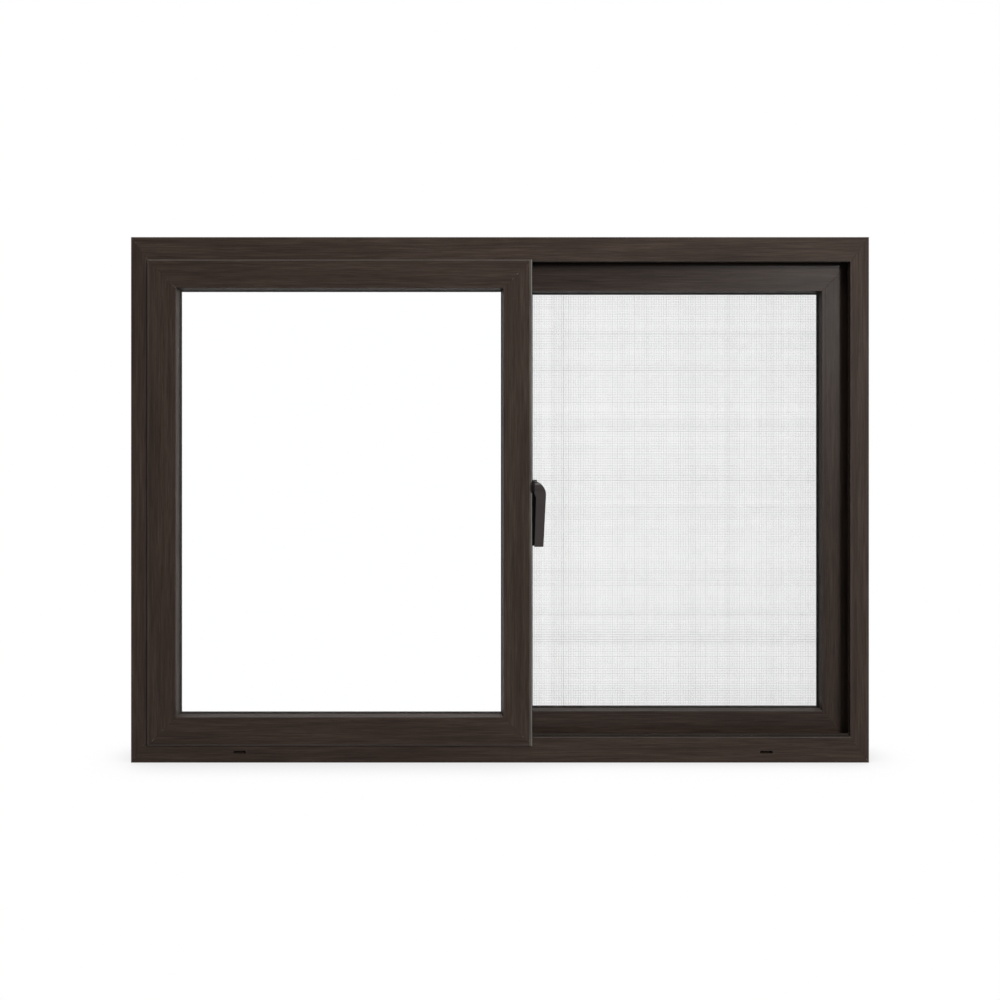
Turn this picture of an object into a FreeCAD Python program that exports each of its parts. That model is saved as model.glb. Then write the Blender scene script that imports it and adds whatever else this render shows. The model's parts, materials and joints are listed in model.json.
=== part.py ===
# A two-sash horizontal sliding window in dark foiled profiles, with a latch and a sliding insect screen.
# Axes: X to the right, Y away from the room, Z up. The origin is the middle of the sill's underside.
import FreeCAD, Part
import math
import os
import re
import Sketcher

os.makedirs("parts", exist_ok=True)
doc = FreeCAD.newDocument("sliding_window")

# Sizes in millimetres, each with what it sets.
SIZES = [
    ("frame_width", 1390, "outer width of the fixed frame"),
    ("frame_height", 990, "outer height of the fixed frame"),
    ("jamb_lip", 35, "face width of a jamb"),
    ("head_lip", 46, "face height of the head"),
    ("sill_rail", 48.5, "height of the sill's rails"),
    ("jamb_floor", 12.5, "wall of a jamb under its channels"),
    ("jamb_fin", 18, "height of the screen fin on a jamb"),
    ("jamb_wall", 20, "height of the outer wall on a jamb"),
    ("rail_thick", 18, "thickness of a rail"),
    ("fin_thick", 3, "thickness of the screen fin"),
    ("wall_thick", 3, "thickness of the outer wall"),
    ("edge_round", 1.2, "rounding of the long outer edges"),
    ("run_gap", 5, "clearance beside a piece that slides"),
    ("fit_gap", 0.3, "clearance of pieces that run or rest on each other"),
    ("sash_gap", 6, "depth between the two sashes"),
    ("leg_thick", 4, "thickness of a sash leg"),
    ("leg_deep", 27, "depth of the channel between the legs"),
    ("sash_face", 57, "width of a sash member from edge to glass opening"),
    ("rebate_start", 47, "where the glazing rebate starts on the sash face"),
    ("guide_high", 10, "height of the guide fin above a sash"),
    ("guide_setback", 60, "how far the guide fin stops short of the corners"),
    ("sash_round", 2.4, "rounding of a sash's outer edges"),
    ("cap_thick", 5, "thickness of the cap on a meeting stile"),
    ("cap_round", 2, "rounding of a cap's long edges"),
    ("meeting_edge", 60.2, "where the inner sash's meeting stile ends, from the middle"),
    ("meeting_shift", 1.2, "how far the outer meeting stile lies to the right of the inner"),
    ("inner_overlap", 1.5, "how far the inner sash laps over the jamb"),
    ("outer_overlap", 10.5, "how far the outer sash goes behind the jamb's lip"),
    ("head_overlap", 2.5, "how far a sash laps over the head"),
    ("sill_overlap", 16, "how far a sash laps over the sill's rails"),
    ("glass_thick", 6, "thickness of a pane"),
    ("glass_edge", 50, "where the pane starts on the sash face"),
    ("gasket_thick", 2.5, "thickness of a gasket between pane and sash"),
    ("gasket_start", 52, "where a gasket starts on the sash face"),
    ("gasket_lip", 1.5, "how far a gasket shows beyond the bead"),
    ("bead_deep", 14, "depth of the glazing bead from the sash face"),
    ("bead_recess", 0.5, "how far a bead lies behind the sash face"),
    ("bead_flat", 6.4, "flat part of a bead's face"),
    ("bead_nose", 2, "square edge of a bead at the gasket"),
    ("upstand_slope", 5, "slope on the outside of the glazing upstand"),
    ("slot_long", 24.5, "length of a drain slot"),
    ("slot_high", 5, "height of a drain slot"),
    ("slot_from_left", 204, "middle of the left drain slot from the frame's side"),
    ("slot_from_right", 193.5, "middle of the right drain slot from the frame's side"),
    ("fixing_radius", 4, "radius of a fixing hole in a jamb"),
    ("fixing_low", 200, "height of the lower fixing holes"),
    ("fixing_pitch", 590, "distance between a jamb's fixing holes"),
    ("track_high", 2, "thickness of the metal track on a sill rail"),
    ("track_bead", 2.5, "radius of the running bead on a track"),
    ("wheel_radius", 10.2, "radius of a roller's flanges"),
    ("wheel_groove", 8.2, "radius of a roller in its groove"),
    ("wheel_wide", 10, "width of a roller"),
    ("groove_wide", 6, "width of a roller's groove"),
    ("axle_radius", 2.5, "radius of a roller's axle"),
    ("carriage_long", 46, "length of a roller's carriage"),
    ("carriage_wide", 15, "width of a roller's carriage"),
    ("carriage_high", 20, "height of a roller's carriage"),
    ("carriage_drop", 6, "how far a carriage hangs into the channel"),
    ("wheel_room", 1.3, "clearance around a roller in its carriage"),
    ("carriage_from_end", 120, "middle of a carriage from the sash's side"),
    ("pile_wide", 7, "width of the brush seal between the sashes"),
    ("pile_high", 5.5, "height of the brush seal between the sashes"),
    ("pile_from_edge", 26, "where the brush seal starts from the meeting stile's edge"),
    ("pile_short", 30, "how far the brush seal stops short of the sash ends"),
    ("screen_thick", 10, "thickness of a screen bar"),
    ("screen_bar", 25, "width of a screen bar"),
    ("screen_left", 30, "left edge of the screen from the middle"),
    ("screen_side_gap", 5, "gap between the screen and the jamb's channel wall"),
    ("screen_low", 24, "bottom edge of the screen above the frame's underside"),
    ("screen_top_gap", 22, "gap from the screen's top edge to the frame's top face"),
    ("screen_rebate", 8, "width of the mesh rebate in a screen bar"),
    ("mesh_deep", 3.5, "depth of the mesh rebate"),
    ("mesh_thick", 1, "thickness of the mesh sheet"),
    ("spline_wide", 4, "width of the cord that holds the mesh"),
    ("glide_long", 30, "length of a screen glide"),
    ("glide_wide", 8, "width of a screen glide"),
    ("glide_from_end", 80, "middle of a glide from the screen's side"),
    ("latch_pivot", 520, "height of the latch's pivot"),
    ("lever_long", 112, "lower end of the lever below its pivot"),
    ("latch_hub", 11.5, "radius of the latch lever's hub"),
    ("latch_pin", 4, "radius of the latch's pin"),
    ("pin_gap", 0.06, "running clearance around the latch's pin"),
    ("latch_proud", 7, "how far the lever stands in front of the sash face"),
    ("lever_deep", 18, "depth of the lever, front to back"),
    ("lever_tail", 14, "depth of the lever at its lower end"),
    ("lever_right", 26, "lever's right edge at the shoulder, from the stile"),
    ("lever_tip_right", 21.1, "lever's right edge at the lower end, from the stile"),
    ("lever_left", 6.9, "lever's left edge at the shoulder, from the stile"),
    ("lever_tip_left", 4, "lever's left edge at the lower end, from the stile"),
    ("neck_drop", 21, "where the lever's left edge turns to its hub, below the pivot"),
    ("pin_long", 14, "length of the latch's pin, from the stile"),
    ("lug_thick", 3.5, "thickness of the lug that carries the latch's pin"),
    ("latch_block", 9.8, "width of the latch's case, from the stile"),
]
sheet = doc.addObject("Spreadsheet::Sheet", "Sizes")
for row, (alias, value, note) in enumerate(SIZES, start=1):
    sheet.set(f"A{row}", note)
    sheet.set(f"B{row}", str(value))
    sheet.setAlias(f"B{row}", alias)

# Lengths that follow from the sizes above.
DERIVED = [
    ("sash_thick", "rail_thick + 2 * run_gap + 2 * leg_thick"),
    ("sash_proud", "run_gap + leg_thick"),
    ("track_pitch", "sash_thick + sash_gap"),
    ("fin_start", "track_pitch - leg_thick + sash_thick"),
    ("screen_start", "fin_start + fin_thick + run_gap"),
    ("wall_start", "screen_start + screen_thick + run_gap"),
    ("frame_depth", "wall_start + wall_thick"),
    ("lip_inside", "frame_width / 2 - jamb_lip"),
    ("sill_floor", "jamb_floor * sill_rail / jamb_lip"),
    ("sash_low", "sill_rail + track_high - sill_overlap"),
    ("sash_top", "frame_height - head_lip + head_overlap"),
    ("sash_high", "sash_top - sash_low"),
    ("inner_left", "-lip_inside - inner_overlap"),
    ("inner_wide", "meeting_edge - inner_left"),
    ("outer_left", "meeting_edge - sash_face + meeting_shift"),
    ("outer_right", "lip_inside + outer_overlap"),
    ("outer_wide", "outer_right - outer_left"),
    ("outer_front", "track_pitch - sash_proud"),
    ("upstand_start", "bead_deep + 2 * gasket_thick + glass_thick"),
    ("screen_right", "frame_width / 2 - jamb_floor - screen_side_gap"),
    ("screen_wide", "screen_right - screen_left"),
    ("screen_top", "frame_height - screen_top_gap"),
    ("screen_high", "screen_top - screen_low"),
    ("lever_front", "-sash_proud - latch_proud"),
    ("pivot_deep", "lever_front + lever_deep / 2"),
    ("lever_low", "latch_pivot - lever_long"),
    ("crown_middle", "latch_pivot + latch_hub - lever_right"),
]
ALIASES = {alias for alias, _, _ in SIZES} | {alias for alias, _ in DERIVED}


def bound(text):
    """Turn a formula in size names into one that reads them from the sheet."""
    return re.sub(r"[a-z_]+", lambda m: "Sizes." + m[0] if m[0] in ALIASES else m[0], text)


for row, (alias, formula) in enumerate(DERIVED, start=len(SIZES) + 1):
    sheet.set(f"B{row}", "=" + formula)
    sheet.setAlias(f"B{row}", alias)
    doc.recompute()


def origin_plane(body, role):
    """The plane of a body's own origin with this role."""
    return next(f for f in body.Origin.OriginFeatures if f.Role == role)


def pin_corners(sketch, loops):
    """Draw closed loops of straight lines whose corners are held by formulas."""
    for loop in loops:
        count = len(loop)
        first = len(sketch.Geometry)
        spots = [
            FreeCAD.Vector(100 * math.cos(2 * math.pi * i / count), 100 * math.sin(2 * math.pi * i / count), 0)
            for i in range(count)
        ]
        for i in range(count):
            sketch.addGeometry(Part.LineSegment(spots[i], spots[(i + 1) % count]))
        for i in range(count):
            after = first + (i + 1) % count
            sketch.addConstraint(Sketcher.Constraint("Coincident", first + i, 2, after, 1))
        for i, corner in enumerate(loop):
            for kind, start, formula in zip(("DistanceX", "DistanceY"), spots[i], corner):
                held = sketch.addConstraint(Sketcher.Constraint(kind, -1, 1, first + i, 1, start))
                sketch.setExpression(f"Constraints[{held}]", bound(formula))


def place(thing, spot, turn=0):
    """Put an object at a spot given by formulas, turned about the depth axis.

    Depths in the formulas count from the frame's front plane, and the origin is in the middle of its depth.
    """
    thing.Placement = FreeCAD.Placement(FreeCAD.Vector(), FreeCAD.Rotation(FreeCAD.Vector(0, 1, 0), turn))
    across, deep, up = spot
    for axis, formula in (("x", across), ("y", f"({deep}) - frame_depth / 2"), ("z", up)):
        thing.setExpression(f"Placement.Base.{axis}", bound(formula))


def flat_sketch(body, role, loops, name):
    """A sketch of straight loops on one of the body's origin planes."""
    sketch = body.newObject("Sketcher::SketchObject", name)
    sketch.AttachmentSupport = [(origin_plane(body, role), "")]
    sketch.MapMode = "FlatFace"
    pin_corners(sketch, loops)
    return sketch


def bar(label, section, length, starts, ends, rounds, round_size, spot, turn):
    """A profile padded upwards from its section, with shaped ends, set in place.

    The section runs inwards along X and back along Y. Each end is a line of corners across the section,
    as distance inwards and distance from that end.
    """
    body = doc.addObject("PartDesign::Body", label)
    body.Label = label
    sketch = flat_sketch(body, "XY_Plane", [section], label + "_section")
    pad = body.newObject("PartDesign::Pad", label + "_pad")
    pad.Profile = sketch
    pad.setExpression("Length", bound(length))
    doc.recompute()
    if rounds:
        corners = [sketch.getPoint(i, 1) for i in rounds]
        edges = [
            f"Edge{i}"
            for i, edge in enumerate(pad.Shape.Edges, start=1)
            if edge.BoundBox.ZLength > edge.BoundBox.XLength + edge.BoundBox.YLength
            and any(math.hypot(edge.BoundBox.XMin - c.x, edge.BoundBox.YMin - c.y) < 0.001 for c in corners)
        ]
        fillet = body.newObject("PartDesign::Fillet", label + "_round")
        fillet.Base = (pad, edges)
        fillet.setExpression("Radius", bound(round_size))
        doc.recompute()
    loops = []
    if starts:
        far = "-frame_depth"
        loops.append([*starts, (starts[-1][0], far), (starts[0][0], far)])
    if ends:
        far = f"({length}) + frame_depth"
        line = [(v, f"({length}) - ({l})") for v, l in ends]
        loops.append([*line, (line[-1][0], far), (line[0][0], far)])
    if loops:
        before = body.Tip.Shape.Volume
        cut_sketch = flat_sketch(body, "XZ_Plane", loops, label + "_ends")
        cut = body.newObject("PartDesign::Pocket", label + "_cut")
        cut.Profile = cut_sketch
        cut.SideType = "Symmetric"
        cut.Type = "ThroughAll"
        doc.recompute()
        if cut.Shape.Volume >= before:
            raise RuntimeError(label + ": the end cuts removed nothing")
    place(body, spot, turn)
    return body


def pocket(body, role, loops, depth, name):
    """Cut straight-sided pockets of one depth inwards from the section's outer side."""
    before = body.Tip.Shape.Volume
    cut_sketch = flat_sketch(body, role, loops, name + "_sketch")
    cut = body.newObject("PartDesign::Pocket", name)
    cut.Profile = cut_sketch
    cut.Reversed = True
    cut.setExpression("Length", bound(depth))
    doc.recompute()
    if cut.Shape.Volume >= before:
        raise RuntimeError(name + ": the pocket removed nothing")


def box(name, low, high):
    """A block between two corners given by formulas."""
    block = doc.addObject("Part::Box", name)
    for side, a, b in zip(("Length", "Width", "Height"), low, high):
        block.setExpression(side, bound(f"({b}) - ({a})"))
    place(block, low)
    return block


def rod(name, radius, start, along, length):
    """A round rod from a spot along X or Y."""
    cylinder = doc.addObject("Part::Cylinder", name)
    cylinder.setExpression("Radius", bound(radius))
    cylinder.setExpression("Height", bound(length))
    place(cylinder, start)
    turned = FreeCAD.Rotation(FreeCAD.Vector(0, 0, 1), FreeCAD.Vector(*along))
    cylinder.Placement = FreeCAD.Placement(cylinder.Placement.Base, turned)
    return cylinder


def cut(name, base, tool):
    """What is left of one object after another is taken away."""
    result = doc.addObject("Part::Cut", name)
    result.Base = base
    result.Tool = tool
    result.Label = name
    return result


def fuse(name, pieces):
    """Several objects joined into one solid."""
    result = doc.addObject("Part::MultiFuse", name)
    result.Shapes = pieces
    result.Label = name
    return result


def group(name, pieces):
    """Several solids that do not touch, as one piece."""
    result = doc.addObject("Part::Compound", name)
    result.Links = pieces
    result.Label = name
    return result


def ring(name, left, right, low, top, front, deep, outside, inside):
    """A flat rectangular ring between two distances in from a rectangle's edges."""
    def block(suffix, inset, margin):
        return box(
            name + suffix,
            (f"{left} + {inset}", f"{front} - {margin}", f"{low} + {inset}"),
            (f"{right} - ({inset})", f"{front} + {deep} + {margin}", f"{top} - ({inset})"),
        )
    return cut(name, block("_outside", outside, "0"), block("_inside", inside, "run_gap"))


NODES = []

# The fixed frame: one profile with two sash rails, a screen fin and an outer wall, mitred at the corners.
def frame_section(lip):
    """The frame profile for a member whose rails are this high; the other steps keep the mitre's ratio."""
    floor, fin, wall = (f"{size} * {lip} / jamb_lip" for size in ("jamb_floor", "jamb_fin", "jamb_wall"))
    rear_end = "track_pitch + rail_thick"
    fin_end = "fin_start + fin_thick"
    return [
        ("0", "0"), (lip, "0"), (lip, "rail_thick"), (floor, "rail_thick"),
        (floor, "track_pitch"), (lip, "track_pitch"), (lip, rear_end), (floor, rear_end),
        (floor, "fin_start"), (fin, "fin_start"), (fin, fin_end), (floor, fin_end),
        (floor, "wall_start"), (wall, "wall_start"), (wall, "frame_depth"), ("0", "frame_depth"),
    ]


def frame_mitre(lip, neighbour):
    """The line of a frame mitre, from beyond the outer corner to beyond the lip."""
    return [(f"-{lip}", f"-{neighbour}"), (f"2 * {lip}", f"2 * {neighbour}")]


frame_left = "-frame_width / 2"
frame_right = "frame_width / 2"
FRAME = [
    ("frame_left_jamb", "jamb_lip", "frame_height", "sill_rail", "head_lip", (frame_left, "0", "0"), 0),
    ("frame_head", "head_lip", "frame_width", "jamb_lip", "jamb_lip", (frame_left, "0", "frame_height"), 90),
    ("frame_right_jamb", "jamb_lip", "frame_height", "head_lip", "sill_rail",
     (frame_right, "0", "frame_height"), 180),
    ("frame_sill", "sill_rail", "frame_width", "jamb_lip", "jamb_lip", (frame_right, "0", "0"), 270),
]
frame = {}
for label, lip, length, before, after, spot, turn in FRAME:
    starts, ends = frame_mitre(lip, before), frame_mitre(lip, after)
    rounds = (0, 1, 2, 5, 6, 14, 15)
    frame[label] = bar(label, frame_section(lip), length, starts, ends, rounds, "edge_round", spot, turn)
    NODES.append(frame[label])


def round_holes(body, role, holes, radius, depth, name):
    """Drill round holes inwards from the outer face of a frame member."""
    before = body.Tip.Shape.Volume
    sketch = body.newObject("Sketcher::SketchObject", name + "_sketch")
    sketch.AttachmentSupport = [(origin_plane(body, role), "")]
    sketch.MapMode = "FlatFace"
    for i, (across, along) in enumerate(holes):
        centre = FreeCAD.Vector(30, 100 * (i + 1), 0)
        sketch.addGeometry(Part.Circle(centre, FreeCAD.Vector(0, 0, 1), 4))
        for kind, start, formula in (("DistanceX", centre.x, across), ("DistanceY", centre.y, along)):
            held = sketch.addConstraint(Sketcher.Constraint(kind, -1, 1, i, 3, start))
            sketch.setExpression(f"Constraints[{held}]", bound(formula))
        held = sketch.addConstraint(Sketcher.Constraint("Radius", i, 4))
        sketch.setExpression(f"Constraints[{held}]", bound(radius))
    drill = body.newObject("PartDesign::Pocket", name)
    drill.Profile = sketch
    drill.Reversed = True
    drill.setExpression("Length", bound(depth))
    doc.recompute()
    if drill.Shape.Volume >= before:
        raise RuntimeError(name + ": the holes removed nothing")


# Fixing holes through each jamb, in the channel between its rails.
middle = "(rail_thick + track_pitch) / 2"
left_holes = [(middle, "fixing_low"), (middle, "fixing_low + fixing_pitch")]
right_holes = [(across, f"frame_height - ({along})") for across, along in left_holes]
round_holes(frame["frame_left_jamb"], "YZ_Plane", left_holes, "fixing_radius", "jamb_floor", "left_fixings")
round_holes(frame["frame_right_jamb"], "YZ_Plane", right_holes, "fixing_radius", "jamb_floor", "right_fixings")

# Drain slots through the sill at the level of its channel floors.
sill = frame["frame_sill"]
volume_before = sill.Tip.Shape.Volume
slots = sill.newObject("Sketcher::SketchObject", "drain_sketch")
slots.AttachmentSupport = [(origin_plane(sill, "XZ_Plane"), "")]
slots.MapMode = "FlatFace"
half = (sheet.slot_long - sheet.slot_high) / 2
end_radius = sheet.slot_high / 2
level = sheet.sill_floor + end_radius
facing = FreeCAD.Vector(0, 0, 1)
for along, spot in (
    (sheet.slot_from_right, "slot_from_right"),
    (sheet.frame_width - sheet.slot_from_left, "frame_width - slot_from_left"),
):
    first = len(slots.Geometry)
    low, high = FreeCAD.Vector(level, along - half, 0), FreeCAD.Vector(level, along + half, 0)
    out = FreeCAD.Vector(end_radius, 0, 0)
    slots.addGeometry(Part.ArcOfCircle(Part.Circle(high, facing, end_radius), 0, math.pi))
    slots.addGeometry(Part.LineSegment(high - out, low - out))
    slots.addGeometry(Part.ArcOfCircle(Part.Circle(low, facing, end_radius), math.pi, 2 * math.pi))
    slots.addGeometry(Part.LineSegment(low + out, high + out))
    for i in range(4):
        slots.addConstraint(Sketcher.Constraint("Tangent", first + i, 2, first + (i + 1) % 4, 1))
    held = slots.addConstraint(Sketcher.Constraint("Radius", first, end_radius))
    slots.setExpression(f"Constraints[{held}]", bound("slot_high / 2"))
    middles = [
        ("DistanceY", first, high.y, f"{spot} + (slot_long - slot_high) / 2"),
        ("DistanceY", first + 2, low.y, f"{spot} - (slot_long - slot_high) / 2"),
        ("DistanceX", first, level, "sill_floor + slot_high / 2"),
    ]
    for kind, arc, start, formula in middles:
        held = slots.addConstraint(Sketcher.Constraint(kind, -1, 1, arc, 3, start))
        slots.setExpression(f"Constraints[{held}]", bound(formula))
drain = sill.newObject("PartDesign::Pocket", "drain_slots")
drain.Profile = slots
drain.SideType = "Symmetric"
drain.Type = "ThroughAll"
doc.recompute()
if drain.Shape.Volume >= volume_before:
    raise RuntimeError("the drain slots removed nothing")

# Metal tracks with a running bead on the sill's two rails.
track_middle = "rail_thick / 2"
small = "track_bead * 0.7071"
track_section = [
    ("0", "0"), ("track_high", "0"), ("track_high", f"{track_middle} - track_bead"),
    (f"track_high + {small}", f"{track_middle} - {small}"), ("track_high + track_bead", track_middle),
    (f"track_high + {small}", f"{track_middle} + {small}"), ("track_high", f"{track_middle} + track_bead"),
    ("track_high", "rail_thick"), ("0", "rail_thick"),
]
for label, deep in (("front_track", "0"), ("rear_track", "track_pitch")):
    spot = ("lip_inside", deep, "sill_rail")
    NODES.append(bar(label, track_section, "2 * lip_inside", [], [], (), "", spot, 270))


# The sashes: a profile with two legs around its rail and a rebate for the pane.
def sash_section(leg_start, rear_leg_start):
    """The sash profile with the outer ends of its front and rear legs where asked."""
    rear = "sash_thick - leg_thick"
    return [
        (leg_start, "0"), ("rebate_start", "0"), ("rebate_start", "upstand_start"),
        ("sash_face", "upstand_start"), ("sash_face", "sash_thick - upstand_slope"),
        ("sash_face - upstand_slope", "sash_thick"),
        (rear_leg_start, "sash_thick"), (rear_leg_start, rear), ("leg_deep", rear),
        ("leg_deep", "leg_thick"), (leg_start, "leg_thick"),
    ]


bead_section = [
    ("rebate_start", "bead_recess"), ("rebate_start + bead_flat", "bead_recess"),
    ("sash_face", "bead_deep - bead_nose"), ("sash_face", "bead_deep"), ("rebate_start", "bead_deep"),
]
cap_section = [("0", "0"), ("cap_thick", "0"), ("cap_thick", "sash_thick"), ("0", "sash_thick")]
beyond = ("2 * sash_face", "2 * sash_face")
plain_end = [("-sash_face", "-sash_face"), beyond]
meeting_end = [("-sash_face", "cap_thick"), ("cap_thick", "cap_thick"), beyond]
guided_end = [("-sash_face", "guide_setback"), ("0", "guide_setback"), ("0", "0"), beyond]
guided_meeting_end = [
    ("-sash_face", "guide_setback"), ("0", "guide_setback"),
    ("0", "cap_thick"), ("cap_thick", "cap_thick"), beyond,
]
SASHES = [
    ("front", "inner_left", "meeting_edge", "inner_wide", "-sash_proud", False),
    ("rear", "outer_left", "outer_right", "outer_wide", "outer_front", True),
]
for sash, left, right, wide, front, meets_left in SASHES:
    if meets_left:
        left_name, right_name = "meeting_stile", "right_stile"
        guided_left, guided_right = guided_meeting_end, guided_end
        low_left, low_right = meeting_end, plain_end
    else:
        left_name, right_name = "left_stile", "meeting_stile"
        guided_left, guided_right = guided_end, guided_meeting_end
        low_left, low_right = plain_end, meeting_end
    members = [
        (left_name, "left", "sash_high", plain_end, plain_end, (left, front, "sash_low"), 0),
        ("top_rail", "top", wide, guided_left, guided_right, (left, front, "sash_top"), 90),
        (right_name, "right", "sash_high", plain_end, plain_end, (right, front, "sash_top"), 180),
        ("bottom_rail", "bottom", wide, low_right, low_left, (right, front, "sash_low"), 270),
    ]
    for name, side, length, starts, ends, spot, turn in members:
        leg = "cap_thick" if name == "meeting_stile" else "0"
        rear_leg = "-guide_high" if name == "top_rail" else leg
        rounds = () if name == "meeting_stile" else (0, 6)
        label = f"{sash}_{name}"
        section = sash_section(leg, rear_leg)
        member = bar(label, section, length, starts, ends, rounds, "sash_round", spot, turn)
        if name == "bottom_rail":
            loops = []
            for middle in ("carriage_from_end", f"{wide} - carriage_from_end"):
                near, far = "(sash_thick - carriage_wide) / 2", "(sash_thick + carriage_wide) / 2"
                low, high = f"{middle} - carriage_long / 2", f"{middle} + carriage_long / 2"
                loops.append([(near, low), (far, low), (far, high), (near, high)])
            pocket(member, "YZ_Plane", loops, "leg_deep + carriage_high - carriage_drop", label + "_pockets")
        NODES.append(member)
        bead = bar(f"{sash}_bead_{side}", bead_section, length, plain_end, plain_end, (), "", spot, turn)
        NODES.append(bead)
        if name == "meeting_stile":
            cap = bar(f"{sash}_interlock", cap_section, length, [], [], (0, 3), "cap_round", spot, turn)
            near, far = "leg_thick", "sash_thick - leg_thick"
            notches = [
                [(near, low), (far, low), (far, high), (near, high)]
                for low, high in (("-run_gap", "leg_deep"), (f"{length} - leg_deep", f"{length} + run_gap"))
            ]
            pocket(cap, "YZ_Plane", notches, "cap_thick", f"{sash}_interlock_notches")
            NODES.append(cap)

    # The pane and the two gaskets that hold it.
    pane_front = f"{front} + bead_deep + gasket_thick"
    pane = box(
        f"{sash}_glass",
        (f"{left} + glass_edge", pane_front, "sash_low + glass_edge"),
        (f"{right} - glass_edge", f"{pane_front} + glass_thick", "sash_top - glass_edge"),
    )
    pane.Label = f"{sash}_glass"
    NODES.append(pane)
    rings = [
        ring(f"{sash}_gasket_{side}", left, right, "sash_low", "sash_top", deep, "gasket_thick",
             "gasket_start", "sash_face + gasket_lip")
        for side, deep in (("room", f"{front} + bead_deep"), ("outside", f"{pane_front} + glass_thick"))
    ]
    NODES.append(group(f"{sash}_gaskets", rings))

    # Two carriages with grooved rollers in the bottom rail.
    pieces = []
    rail_middle = f"{front} + sash_thick / 2"
    wheel_high = "sash_low + sill_overlap + track_bead + fit_gap + wheel_groove"
    for side, middle in (("left", f"{left} + carriage_from_end"), ("right", f"{right} - carriage_from_end")):
        name = f"{sash}_{side}_roller"
        case_low = "sash_low + leg_deep - carriage_drop"
        case = box(
            name + "_block",
            (f"{middle} - carriage_long / 2", f"{rail_middle} - carriage_wide / 2", case_low),
            (f"{middle} + carriage_long / 2", f"{rail_middle} + carriage_wide / 2",
             f"{case_low} + carriage_high"),
        )
        room = box(
            name + "_room",
            (f"{middle} - wheel_radius - wheel_room", f"{rail_middle} - wheel_wide / 2 - wheel_room / 2",
             f"{case_low} - run_gap"),
            (f"{middle} + wheel_radius + wheel_room", f"{rail_middle} + wheel_wide / 2 + wheel_room / 2",
             f"{wheel_high} + wheel_radius + wheel_room"),
        )
        bore_start = (middle, f"{rail_middle} - carriage_wide / 2 - run_gap", wheel_high)
        bore_long = "carriage_wide + 2 * run_gap"
        bore = rod(name + "_bore", "axle_radius + fit_gap / 2", bore_start, (0, 1, 0), bore_long)
        pieces.append(cut(name + "_carriage", cut(name + "_slotted", case, room), bore))
        flange = "(wheel_wide - groove_wide) / 2"
        discs = []
        for disc_name, radius, start, long in (
            ("tread", "wheel_groove", f"{rail_middle} - wheel_wide / 2", "wheel_wide"),
            ("axle", "axle_radius", f"{rail_middle} - carriage_wide / 2", "carriage_wide"),
            ("near", "wheel_radius", f"{rail_middle} - wheel_wide / 2", flange),
            ("far", "wheel_radius", f"{rail_middle} + groove_wide / 2", flange),
        ):
            discs.append(rod(f"{name}_{disc_name}", radius, (middle, start, wheel_high), (0, 1, 0), long))
        pieces.append(fuse(name + "_wheel", discs))
    NODES.append(group(f"{sash}_rollers", pieces))

# A brush seal on the back of the inner meeting stile.
pile = box(
    "meeting_pile",
    ("meeting_edge - pile_from_edge - pile_wide", "sash_thick - sash_proud", "sash_low + pile_short"),
    ("meeting_edge - pile_from_edge", "sash_thick - sash_proud + pile_high", "sash_top - pile_short"),
)
pile.Label = "meeting_pile"
NODES.append(pile)

# The insect screen: four mitred bars, the mesh in their rebate, and the cord that holds it.
screen_section = [
    ("0", "0"), ("screen_bar", "0"), ("screen_bar", "screen_thick - mesh_deep"),
    ("screen_bar - screen_rebate", "screen_thick - mesh_deep"), ("screen_bar - screen_rebate", "screen_thick"),
    ("0", "screen_thick"),
]
screen_end = [("-screen_bar", "-screen_bar"), ("2 * screen_bar", "2 * screen_bar")]
SCREEN = [
    ("screen_left_bar", "screen_high", ("screen_left", "screen_start", "screen_low"), 0),
    ("screen_top_bar", "screen_wide", ("screen_left", "screen_start", "screen_top"), 90),
    ("screen_right_bar", "screen_high", ("screen_right", "screen_start", "screen_top"), 180),
    ("screen_bottom_bar", "screen_wide", ("screen_right", "screen_start", "screen_low"), 270),
]
for label, length, spot, turn in SCREEN:
    rounds = (0, 1, 5)
    NODES.append(bar(label, screen_section, length, screen_end, screen_end, rounds, "edge_round", spot, turn))
mesh_inset = "screen_bar - screen_rebate + fit_gap"
mesh_front = "screen_start + screen_thick - mesh_deep"
mesh = box(
    "screen_mesh",
    (f"screen_left + {mesh_inset}", mesh_front, f"screen_low + {mesh_inset}"),
    (f"screen_right - ({mesh_inset})", f"{mesh_front} + mesh_thick", f"screen_top - ({mesh_inset})"),
)
mesh.Label = "screen_mesh"
NODES.append(mesh)
cord_inset = "screen_bar - screen_rebate + (screen_rebate - spline_wide) / 2"
NODES.append(ring("screen_spline", "screen_left", "screen_right", "screen_low", "screen_top",
                  f"{mesh_front} + mesh_thick", "mesh_deep - mesh_thick",
                  cord_inset, f"{cord_inset} + spline_wide"))
glides = []
for side, middle in (("left", "screen_left + glide_from_end"), ("right", "screen_right - glide_from_end")):
    glides.append(box(
        f"screen_{side}_glide",
        (f"{middle} - glide_long / 2", "screen_start + (screen_thick - glide_wide) / 2",
         "sill_floor + fit_gap"),
        (f"{middle} + glide_long / 2", "screen_start + (screen_thick + glide_wide) / 2", "screen_low"),
    ))
NODES.append(group("screen_glides", glides))

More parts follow.
